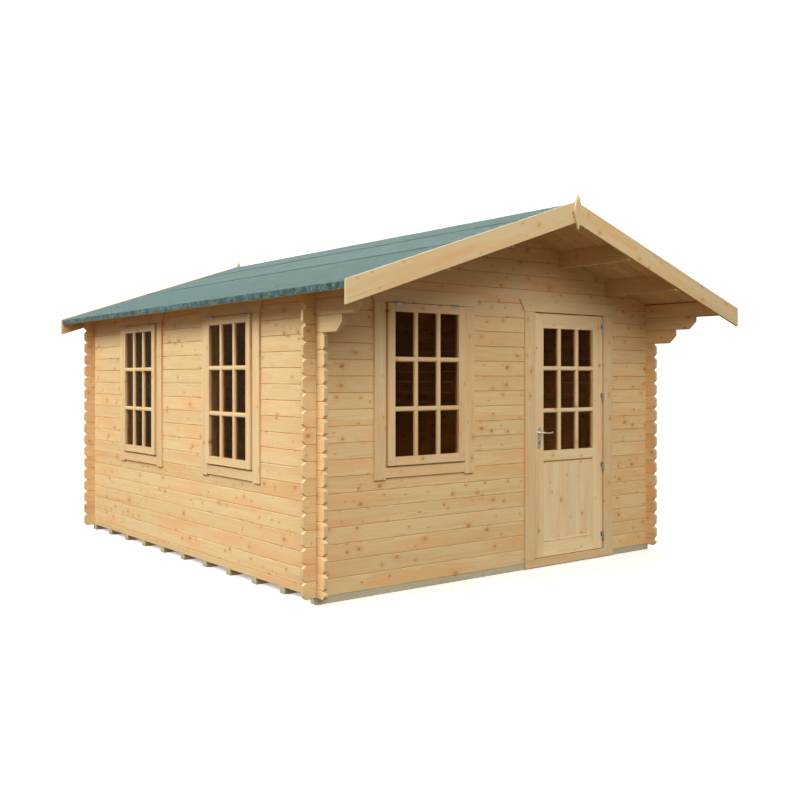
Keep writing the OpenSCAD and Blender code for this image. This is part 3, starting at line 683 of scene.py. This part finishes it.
def felting():
    """A sheet along each eaves, turned down over its edge, one above it and a cap on the ridge."""
    felt_v = FELT_T * STRETCH
    edge_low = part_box("roof_felt_right")[0].z

    def top(x, lift):
        return x, roof_z(x) + BOARD_T * STRETCH + lift

    r = EDGE_BEND
    bend_z = top(EDGE_X - r, felt_v)[1] - r * STRETCH
    turns = [PITCH + (math.pi / 2 - PITCH) * k / 5 for k in range(6)]
    bend = [(EDGE_X - r + r * math.sin(a), bend_z + r * math.cos(a)) for a in turns]
    inner, start = EDGE_X - FELT_T, LAP_X - FELT_LAP
    eaves = [top(start, FELT_GAP), top(inner, FELT_GAP), (inner, edge_low), (EDGE_X, edge_low)]
    eaves += [*reversed(bend), top(start, felt_v)]
    # The upper sheet lies on the boards and climbs over the top of the lower one
    over = felt_v + 2 * FELT_GAP
    under = [(0.01, FELT_GAP), (LAP_X - 0.075, FELT_GAP), (LAP_X - 0.05, over), (LAP_X, over)]
    upper = [top(x, lift) for x, lift in under]
    upper += [top(x, lift + felt_v) for x, lift in reversed(under)]
    for side, word in ((-1, "left"), (1, "right")):
        sheet_of_felt([(side * x, z) for x, z in eaves], f"felt_eaves_{word}", f"roof_felt_{word}")
        sheet_of_felt([(side * x, z) for x, z in upper], f"felt_upper_{word}", None)
    high = over + felt_v
    shoulder, crown = 0.02, top(0, high)[1] - 0.002
    cap = [top(0, over), top(CAP_X, over), top(CAP_X, high), top(shoulder, high), (0, crown)]
    cap += [(-x, z) for x, z in (top(shoulder, high), top(CAP_X, high), top(CAP_X, over))]
    sheet_of_felt(cap, "felt_ridge_cap", "ridge_felt")


def clout_nails():
    """Flat galvanised heads along the laps, the verges and the ridge cap."""
    inset, spacing, head_r, rim_r = 0.030, 0.15, 0.0055, 0.0046
    y0, y1 = ROOF_FRONT_Y + inset, ROOF_BACK_Y - inset
    count = round((y1 - y0) / spacing)
    along = [y0 + (y1 - y0) * k / count for k in range(count + 1)]
    down = [EDGE_X * (k + 0.7) / 13 for k in range(12)]
    # Each spot: distance from the ridge, place along it and how many sheets lie there
    spots = [(x, y, 2) for x in (CAP_X - 0.02, LAP_X - 0.022) for y in along]
    spots += [(x, y, 1) for x in down for y in (y0, y1)
              if abs(x - LAP_X) > 0.05 and x > CAP_X + 0.03]
    heads = Metal("felt_nails")
    for side in (-1, 1):
        for x, y, sheets in spots:
            place = slope_place(side, x, BOARD_T + FELT_T * sheets)
            at, out = place @ Vector((0, y, 0)), place.to_3x3() @ Z
            heads.rod(at - out * 0.002, at + out * 0.0017, head_r, rim_r, 10)
    heads.build(None, ZINC, edge=0)


def gable_trim():
    """Two barge boards and a diamond finial on each gable."""
    for end in ("front", "rear"):
        for side, word in ((-1, "left"), (1, "right")):
            node = f"{end}_barge_{word}"
            low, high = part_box(node)
            far = low.x if side < 0 else high.x
            v = high.z - low.z - abs(far) * RISE
            gap = side * 0.0008
            outline = [(gap, high.z - v), (far, low.z), (far, low.z + v), (gap, high.z)]
            timber = Timber(f"barge_{end}_{word}")
            down = Vector((side * math.cos(PITCH), 0, -math.sin(PITCH)))
            timber.prism(outline, "xz", low.y, high.y, down, down.cross(Y))
            timber.build(node, BARGE, edge=0.0022)
    for end in ("front", "rear"):
        low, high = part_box(end + "_finial")
        middle = (low.z + high.z) / 2
        outline = [(0, high.z), (high.x, middle), (0, low.z), (low.x, middle)]
        timber = Timber("diamond_" + end)
        timber.prism(outline, "xz", low.y, high.y, Z, X)
        timber.build(end + "_finial", BARGE, edge=0.003)


# ---- Joinery: x along the wall, y indoors, z up, from the middle of the opening's bottom ----


def bar_outline(half, depth, nose):
    """Cross-section of a moulded bar: wide at the glass, rounded to a flat nose."""
    round_over = [(nose + (half - nose) * math.sin(a), -depth + (depth - 0.004) * (1 - math.cos(a)))
                  for a in [math.radians(d) for d in (0, 30, 60, 90)]]
    right = [(half, 0.0)] + list(reversed(round_over))
    return right + [(-x, y) for x, y in reversed(right)]


def glazing_bars(timber, place, x0, x1, z0, z1, face_y, back_y):
    """The bars of a grid of panes: moulded in front of the glass, with flat beads behind it."""
    bar = bar_outline(BAR_W / 2, BAR_DEPTH, BAR_NOSE / 2)
    y = face_y + BAR_DEPTH
    step_x, step_z = (x1 - x0 + BAR_W) / PANES, (z1 - z0 + BAR_W) / PANES
    xs = [x0 + k * step_x - BAR_W / 2 for k in range(1, PANES)]
    zs = [z0 + k * step_z - BAR_W / 2 for k in range(1, PANES)]

    def spans(lap):
        """The lengths of the level pieces, which reach past each pane by lap."""
        for i in range(PANES):
            a = x0 + i * step_x
            yield max(a - lap, x0), min(a + step_x - BAR_W + lap, x1)

    for x in xs:
        timber.prism([(x + a, y + b) for a, b in bar], "xy", z0, z1, Z, X, place)
    for z in zs:
        for a, b in spans(BAR_NOSE / 2):
            timber.prism([(y + d, z + c) for c, d in bar], "yz", a, b, X, Z, place)
    half, near = BEAD_W / 2, y + GLASS_T + BEAD_GAP
    for x, z in zip(xs, zs):
        timber.box((x - half, near, z0), (x + half, back_y, z1), Z, X, place)
        for a, b in spans(BAR_W / 2 - half):
            timber.box((a, near, z - half), (b, back_y - SHY, z + half), X, Z, place)


def corners(low, high, inset=0.0):
    return low.x + inset, high.x - inset, low.z + inset, high.z - inset


def surround(timber, place, outer, inner, y0, y1, rail_y):
    """Two uprights and the two rails between them, with outer and inner as from corners()."""
    for x0, x1 in ((outer[0], inner[0]), (inner[1], outer[1])):
        timber.box((x0, y0, outer[2]), (x1, y1, outer[3]), Z, X, place)
    x0, x1 = inner[0] + JOINT / 2, inner[1] - JOINT / 2
    for z0, z1 in ((outer[2], inner[2]), (inner[3], outer[3])):
        timber.box((x0, rail_y, z0), (x1, y1, z1), X, Z, place)


def architrave(timber, place, low, high, back_y, side_w, foot_z, sill_low, sill_high):
    """Side boards, a sill between or under them, and a head board whose ends lean out."""
    left, right, head_z = low.x + FLARE, high.x - FLARE, high.z - HEAD_H
    for x0, x1 in ((left, left + side_w), (right - side_w, right)):
        timber.box((x0, low.y, foot_z), (x1, back_y, head_z - JOINT), Z, X, place)
    timber.box(sill_low, sill_high, X, Z, place)
    head = [(left, head_z), (right, head_z), (high.x, high.z), (low.x, high.z)]
    timber.prism(head, "xz", low.y, back_y, X, Z, place)


def window(place, name):
    low, high = LOCAL["sash"]
    outer, glazed = corners(low, high), corners(low, high, SASH_FACE)
    sash = Timber(name + "_casement")
    surround(sash, place, outer, glazed, low.y, high.y, low.y + RAIL_SHY)
    glazing_bars(sash, place, *glazed, low.y + SHY, high.y)
    sash.build(name + "_sash", PLANED, edge=0.0018)

    inner = corners(low, high, SASH_LAP)
    low, high = LOCAL["frame"]
    lining = Timber(name + "_lining")
    surround(lining, place, corners(low, high), inner, low.y, high.y, low.y)
    lining.build(name + "_frame", PLANED)

    low, high = LOCAL["trim"]
    trim = Timber(name + "_architrave")
    sill_x, sill_z = low.x + FLARE + SIDE_W + JOINT / 2, low.z + SIDE_TAIL
    sill_end = high.x - FLARE - SIDE_W - JOINT / 2
    architrave(trim, place, low, high, 0, SIDE_W, low.z,
               (sill_x, low.y + SHY, sill_z), (sill_end, 0, sill_z + SILL_H))
    trim.build(name + "_trim", PLANED, edge=0.0018)


def front_place():
    low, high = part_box("front_window_frame")
    return Matrix.Translation(((low.x + high.x) / 2, FRONT_Y, low.z))


def side_place(i):
    low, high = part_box(f"side_window_{i}_frame")
    at = Matrix.Translation((-SIDE_X, (low.y + high.y) / 2, low.z))
    return at @ Matrix.Rotation(math.radians(-90), 4, "Z")


# Corners of the front window's parts in the window's own place
LOCAL = {part: [front_place().inverted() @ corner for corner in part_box("front_window_" + part)]
         for part in ("frame", "sash", "trim")}


def windows():
    window(front_place(), "front_window")
    for i in (1, 2):
        window(side_place(i), f"side_window_{i}")
    for name in ("front_window", "side_window_1", "side_window_2", "door"):
        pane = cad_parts[name + "_glass"]
        pane.data.materials.clear()
        pane.data.materials.append(GLASS[0])


# ---- Door ----


def door_leaf():
    low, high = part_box("door_leaf")
    y0, y1, stepped_y = low.y, high.y, low.y + STEP_DEPTH
    x0, x1 = low.x + STILE_W, high.x - STILE_W
    foot_z = low.z + BOTTOM_RAIL
    head_z = foot_z + PANEL_H
    glass_z, top_z, step_z = head_z + MID_RAIL, high.z - TOP_RAIL, high.z - FACE_STEP
    leaf = Timber("door_joinery")
    edge = low.x + FACE_STEP
    free = [(low.x, stepped_y), (edge, stepped_y), (edge, y0), (x0, y0), (x0, y1), (low.x, y1)]
    hung = [(x1, y0), (high.x, y0), (high.x, y1), (x1, y1)]
    for section in (free, hung):
        leaf.prism(section, "xy", low.z, step_z, Z, X)
        leaf.box((section[0][0], stepped_y, step_z), (section[-2][0], y1, high.z), Z, X)
    leaf.box((high.x, stepped_y, low.z), (high.x + LIP_W, y0 + LIP_BACK, high.z), Z, X)
    # A sloping bead sheds water from the foot of the panel, and small ones line its other sides
    near, deep = y0 + 2 * RAIL_SHY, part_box("door_panel")[0].y - SHY
    thin, wide, narrow = 0.001, 0.016, 0.008
    for z, way in ((foot_z, 1), (head_z, -1)):
        slope = [(near, z), (near, z + way * thin), (deep, z + way * wide), (deep, z)]
        leaf.prism(slope, "yz", x0, x1, X, Z)
    for x, way in ((x0, 1), (x1, -1)):
        slope = [(x, near), (x + way * thin, near), (x + way * narrow, deep), (x, deep)]
        leaf.prism(slope, "xy", foot_z + thin, head_z - thin, Z, X)
    a, b = x0 + JOINT / 2, x1 - JOINT / 2
    for z0, z1 in ((low.z, foot_z), (head_z, glass_z), (top_z, step_z)):
        leaf.box((a, y0 + RAIL_SHY, z0), (b, y1, z1), X, Z)
    leaf.box((a, stepped_y, step_z), (b, y1, high.z), X, Z)
    glazing_bars(leaf, None, x0, x1, glass_z, top_z, y0 + SHY, y1)
    leaf.build("door_leaf", JOINERY, body="door", edge=0.002)


def door_panel():
    low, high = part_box("door_panel")
    width, v = (high.x - low.x) / PANEL_BOARDS, PANEL_V
    panel = Timber("door_panel_boards")
    for k in range(PANEL_BOARDS):
        x0, x1 = low.x + k * width + JOINT / 2, low.x + (k + 1) * width - JOINT / 2
        outline = [(x0 + v, low.y), (x1 - v, low.y), (x1, low.y + v), (x1, high.y - v),
                   (x1 - v, high.y), (x0 + v, high.y), (x0, high.y - v), (x0, low.y + v)]
        panel.prism(outline, "xy", low.z, high.z, Z, X)
    panel.build("door_panel", JOINERY, body="door", edge=0.0006)


def door_surround():
    """The lining with its stop, and the boards round it."""
    low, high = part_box("door_frame")
    stop_y = low.y + STOP_BACK
    lining = Timber("door_lining")
    for wall_x, way in ((low.x, 1), (high.x, -1)):
        face_x = wall_x + way * JAMB
        tip_x = face_x + way * STOP
        section = [(wall_x, low.y), (face_x, low.y), (face_x, stop_y), (tip_x, stop_y),
                   (tip_x, high.y), (wall_x, high.y)]
        lining.prism(section, "xy", low.z, high.z, Z, X)
    under = high.z - LINING_HEAD
    top = [(low.y, under), (stop_y, under), (stop_y, under - STOP),
           (high.y, under - STOP), (high.y, high.z), (low.y, high.z)]
    a, b = low.x + JAMB, high.x - JAMB
    lining.prism(top, "yz", a, b, X, Z)
    lining.box((a, low.y, low.z), (b, high.y, low.z + SILL), X, Y)
    lining.build("door_frame", PLANED)

    low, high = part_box("door_trim")
    trim = Timber("door_architrave")
    step_z = WALL_Z + SILL
    architrave(trim, None, low, high, high.y, DOOR_SIDE_W, step_z + JOINT,
               (low.x + FLARE, low.y, low.z), (high.x - FLARE, high.y, step_z))
    trim.build("door_trim", PLANED, edge=0.0018)


# ---- Metal ----


class Metal:
    """Turned and pressed metal parts gathered into one mesh."""

    def __init__(self, name):
        self.name = name
        self.work = bmesh.new()

    def rod(self, start, end, radius, end_radius=None, segments=24):
        start, end = Vector(start), Vector(end)
        axis = end - start
        turn = axis.to_track_quat("Z", "Y").to_matrix().to_4x4()
        bmesh.ops.create_cone(
            self.work, cap_ends=True, segments=segments, radius1=radius,
            radius2=radius if end_radius is None else end_radius, depth=axis.length,
            matrix=Matrix.Translation((start + end) / 2) @ turn)

    def block(self, low, high):
        low, high = Vector(low), Vector(high)
        size = Matrix.Diagonal((*(high - low), 1))
        bmesh.ops.create_cube(self.work, size=1, matrix=Matrix.Translation((low + high) / 2) @ size)

    def slab(self, a, b, low, high):
        """A plate between two points seen from above and two heights."""
        self.block((min(a.x, b.x), min(a.y, b.y), low), (max(a.x, b.x), max(a.y, b.y), high))

    def tube(self, points, radii, segments=20):
        """A round bar through points, with a radius at each."""
        rings = []
        for k, point in enumerate(points):
            ahead = points[min(k + 1, len(points) - 1)] - points[max(k - 1, 0)]
            beside = Z.cross(ahead).normalized()
            over = ahead.normalized().cross(beside)
            turns = [math.tau * i / segments for i in range(segments)]
            rings.append([self.work.verts.new(
                point + radii[k] * (beside * math.cos(a) + over * math.sin(a))) for a in turns])
        skin(self.work, rings)

    def build(self, node, look, body="cabin", edge=0.0004):
        finished(mesh_of(self.work, self.name), self.name, look, body, edge, node)


def solids_of(node):
    """Corners of each separate solid in a CAD node."""
    work = bmesh.new()
    work.from_mesh(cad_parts[node].data)
    bmesh.ops.remove_doubles(work, verts=work.verts, dist=1e-6)
    left, found = set(work.verts), []
    while left:
        todo, group = [left.pop()], []
        while todo:
            vert = todo.pop()
            group.append(vert.co.copy())
            for link in vert.link_edges:
                other = link.other_vert(vert)
                if other in left:
                    left.remove(other)
                    todo.append(other)
        found.append([Vector([pick(c[i] for c in group) for i in range(3)]) for pick in (min, max)])
    work.free()
    return sorted(found, key=lambda box: tuple(round(c, 3) for c in box[0]))


def window_hinges():
    """Butt hinges: five knuckles on a pin, a screwed leaf on the sash and one over its top."""
    r, plate, gap, knuckles = 0.005, 0.002, 0.0004, 5
    hinges = Metal("casement_hinges")
    for low, high in solids_of("window_hinges"):
        size = high - low
        way, out = (X, -Y) if size.x > size.y else (Y, -X)
        length = size.dot(way)
        centre = (low + high) / 2 - out * (size.dot(out) / 2 + r)
        centre.z = high.z - r
        step = length / knuckles
        for k in range(knuckles):
            a = centre + way * (-length / 2 + k * step)
            hinges.rod(a + way * gap, a + way * (step - gap), r)
        half = way * (length / 2 - 0.001)
        hinges.rod(centre - half, centre + half, r * 0.55)
        face = centre - out * (r - plate)
        hinges.slab(face - half, face + half - out * plate, low.z, centre.z)
        hinges.slab(face - half, centre + half - out * length * 0.5, centre.z - 0.003, centre.z)
        for k in (-1, 1):
            at = face + way * (k * length * 0.3)
            at.z = low.z + 0.006
            hinges.rod(at, at + out * 0.0012, 0.0035, 0.0028, 16)
    hinges.build("window_hinges", ZINC)


def door_hinges():
    """Lift-off hinges: a lower half with the pin on the lining, an upper half on the leaf."""
    r, pin, cap, rise, plate, inset = 0.007, 0.004, 0.003, 0.037, 0.002, 0.001
    lower = Metal("hinge_lower_halves")
    jamb_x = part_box("door_frame")[1].x - JAMB
    for low, high in solids_of("door_frame_hinges"):
        x, y = low.x + r, low.y + r
        top = low.z + rise
        lower.rod((x, y, low.z + cap), (x, y, top), r)
        lower.rod((x, y, low.z), (x, y, low.z + cap), r * 0.6, r)
        lower.rod((x, y, top - 0.004), (x, y, high.z), pin)
        lower.block((x, y, low.z + inset), (jamb_x, y + plate, top - inset))
        lower.block((jamb_x - plate, y, low.z + inset), (jamb_x, high.y, top - inset))
    lower.build("door_frame_hinges", ZINC)
    upper = Metal("hinge_upper_halves")
    for low, high in solids_of("door_leaf_hinges"):
        x, y = high.x - r, low.y + r
        upper.rod((x, y, low.z), (x, y, high.z - cap), r)
        upper.rod((x, y, high.z - cap), (x, y, high.z), r, r * 0.6)
        upper.block((low.x, high.y - plate, low.z + inset), (x, high.y, high.z - inset))
        screw_x = low.x + 0.006
        for z in (low.z + 0.010, high.z - 0.010):
            upper.rod((screw_x, high.y, z), (screw_x, high.y - 0.0032, z), 0.0034, 0.0027, 16)
    upper.build("door_leaf_hinges", ZINC, body="door")


def handle():
    """A long plate, lever and keyhole on each face of the leaf."""
    plates, slot = Metal("handle_plate_set"), Metal("keyholes")
    low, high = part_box("door_handle_plates")
    lever_low, lever_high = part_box("door_lever")
    x, axis_z = (low.x + high.x) / 2, (lever_low.z + lever_high.z) / 2
    lock_z = axis_z - 0.066
    half, thick, rim = (high.x - low.x) / 2, 0.006, 0.002
    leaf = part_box("door_leaf")
    for face, out in ((leaf[0].y, -1), (leaf[1].y, 1)):
        def turned(z, deep, proud, *radii, on=plates):
            on.rod((x, face + out * deep, z), (x, face + out * proud, z), *radii)

        # The plate: a long rounded outline with a chamfered rim
        for depth0, depth1, reach in ((0, thick * 0.6, half), (thick * 0.6, thick, half - rim)):
            outline = []
            for corner_z, start in ((high.z - half, 0), (low.z + half, 180)):
                for k in range(13):
                    a = math.radians(start + 15 * k)
                    outline.append((x + reach * math.cos(a), corner_z + reach * math.sin(a)))
            skin(plates.work, [[plates.work.verts.new((u, face + out * d, z)) for u, z in outline]
                               for d in (depth0, depth1)])
        turned(axis_z, 0.003, 0.0115, 0.0115, 0.0105, 32)
        turned(lock_z, 0.003, 0.009, 0.0085, 0.0082, 32)
        deep, proud = sorted((face + out * 0.003, face + out * 0.0066))
        # A near-black slot on the plate: painted shade where the keyhole's hole is dark
        slot.block((x - 0.0042, deep, lock_z - 0.023), (x + 0.0042, proud, lock_z))
        turned(lock_z, 0.006, 0.0094, 0.0052, on=slot)
        for z in (high.z - 0.012, low.z + 0.012):
            turned(z, 0.004, 0.0072, 0.0042, 0.003, 20)
    plates.build("door_handle_plates", STEEL, body="door")
    slot.build(None, SHADOW, body="door")

    lever = Metal("lever_pair")
    r, waist, tip, turn, grip_end = 0.0078, 0.0018, 0.0045, 0.012, 0.020
    lever.rod((x, lever_low.y + 0.014, axis_z), (x, lever_high.y - 0.014, axis_z), 0.0075)
    for y, out in ((lever_low.y + 0.008, -1), (lever_high.y - 0.008, 1)):
        points, radii = [], []
        for k in range(7):  # the neck turns from the spindle into the grip
            a = math.radians(15 * k)
            across, back = turn * (1 - math.cos(a)), turn * (1 - math.sin(a))
            points.append(Vector((x + across, y - out * back, axis_z)))
            radii.append(r)
        for k in range(1, 13):
            t = k / 12
            belly = math.sin(math.pi * t)
            across = turn + (lever_high.x - x - grip_end) * t
            back = 0.040 * max(0.0, t - 0.75)
            points.append(Vector((x + across, y - out * back, axis_z - 0.0035 * belly)))
            radii.append(r - waist * belly)
        points.append(points[-1] + Vector((0.005, -out * 0.001, 0)))
        radii.append(tip)
        lever.tube(points, radii)
    lever.build("door_lever", STEEL, body="lever")


# ---- Stage ----


# Light from the sky: how high it starts and stops fading, and its two colours
SKY_LOW, SKY_HIGH = -0.12, 0.45
SKY_DIM = rgb(0.205, 0.160, 0.110)
SKY_BRIGHT = rgb(0.80, 0.79, 0.77)


def plain(name, colour, roughness, glow):
    """Matt paint or paper with a glow of its own, so that it stays white."""
    s = shader(name)
    place = s.place()
    speckle = s.noise(place, 3.0, 2.0)
    return s.finish(s.bright(colour, s.ease(speckle, 0.3, 0.7, 0.995, 1.0)), roughness,
                    Emission_Color=rgb(1.0, 1.0, 1.0), Emission_Strength=glow)


def scenery(name, work, material):
    """A floor or backdrop that shows to the camera and lights nothing."""
    mesh = mesh_of(work, name)
    mesh.materials.append(material)
    piece = placed(name, mesh)
    piece.visible_diffuse = piece.visible_glossy = piece.visible_transmission = False
    return piece


def softbox(name, at, aim, size, power, colour):
    light = bpy.data.lights.new(name, "AREA")
    light.shape = "DISK"
    light.size, light.energy, light.color = size, power, colour
    lamp = placed(name, light)
    lamp.location = at
    lamp.rotation_mode = "QUATERNION"
    lamp.rotation_quaternion = (Vector(aim) - Vector(at)).to_track_quat("-Z", "Y")


def sky():
    """Soft light from above that fades to a dim warm glow from below."""
    bpy.context.scene.world = world = bpy.data.worlds.new("studio")
    s = Shader(world)
    height = s.split(s.node("TexCoord").outputs["Generated"])[2]
    share = s.node("MapRange", {0: height, 1: SKY_LOW, 2: SKY_HIGH}).outputs[0]
    glow = s.node("Background", {"Color": s.mix(share, SKY_DIM, SKY_BRIGHT)})
    s.node("OutputWorld", {"Surface": glow.outputs[0]})


def stage():
    bpy.context.scene.view_settings.view_transform = "Standard"
    work = bmesh.new()
    bmesh.ops.create_circle(work, cap_ends=True, segments=96, radius=45)
    scenery("studio_floor", work, plain("studio_floor_paint", rgb(0.92, 0.92, 0.915), 0.9, 0.35))
    work = bmesh.new()
    bmesh.ops.create_uvsphere(work, u_segments=64, v_segments=32, radius=60)
    paper = plain("studio_backdrop_paper", rgb(0.9, 0.9, 0.9), 0.9, 1.0)
    scenery("studio_backdrop", work, paper).visible_shadow = False
    sky()
    white, warm = (1.0, 0.985, 0.95), (1.0, 0.975, 0.93)
    softbox("key_left", (-10.5, 1.0, 8.0), (0, 0.2, 1.2), 6, 1080, warm)
    softbox("fill_back", (8.0, 10.0, 7.0), (0, 0, 1.2), 7, 600, white)
    softbox("fill_front", (-4.2, -10.5, 7.2), (0, 0, 1.2), 6, 610, white)


def camera():
    lens = bpy.data.cameras.new("camera")
    lens.sensor_width = 36
    lens.lens = 43.38
    lens.shift_y = -0.0275
    lens.clip_end = 200
    eye = placed("camera", lens)
    eye.location = (-5.2196, -7.2209, 1.5154)
    eye.rotation_euler = (math.radians(90), 0, math.radians(-37.647))
    bpy.context.scene.camera = eye


camera()
stage()
end_walls()
gable("front_gable_logs", "front_gable", FRONT_Y)
gable("back_gable_logs", "back_gable", BACK_Y - LOG_T)
side_walls()
floor()
purlins()
roof_boards(-1, "left")
roof_boards(1, "right")
eaves_boards()
felting()
clout_nails()
gable_trim()
windows()
door_leaf()
door_panel()
door_surround()
window_hinges()
door_hinges()
handle()
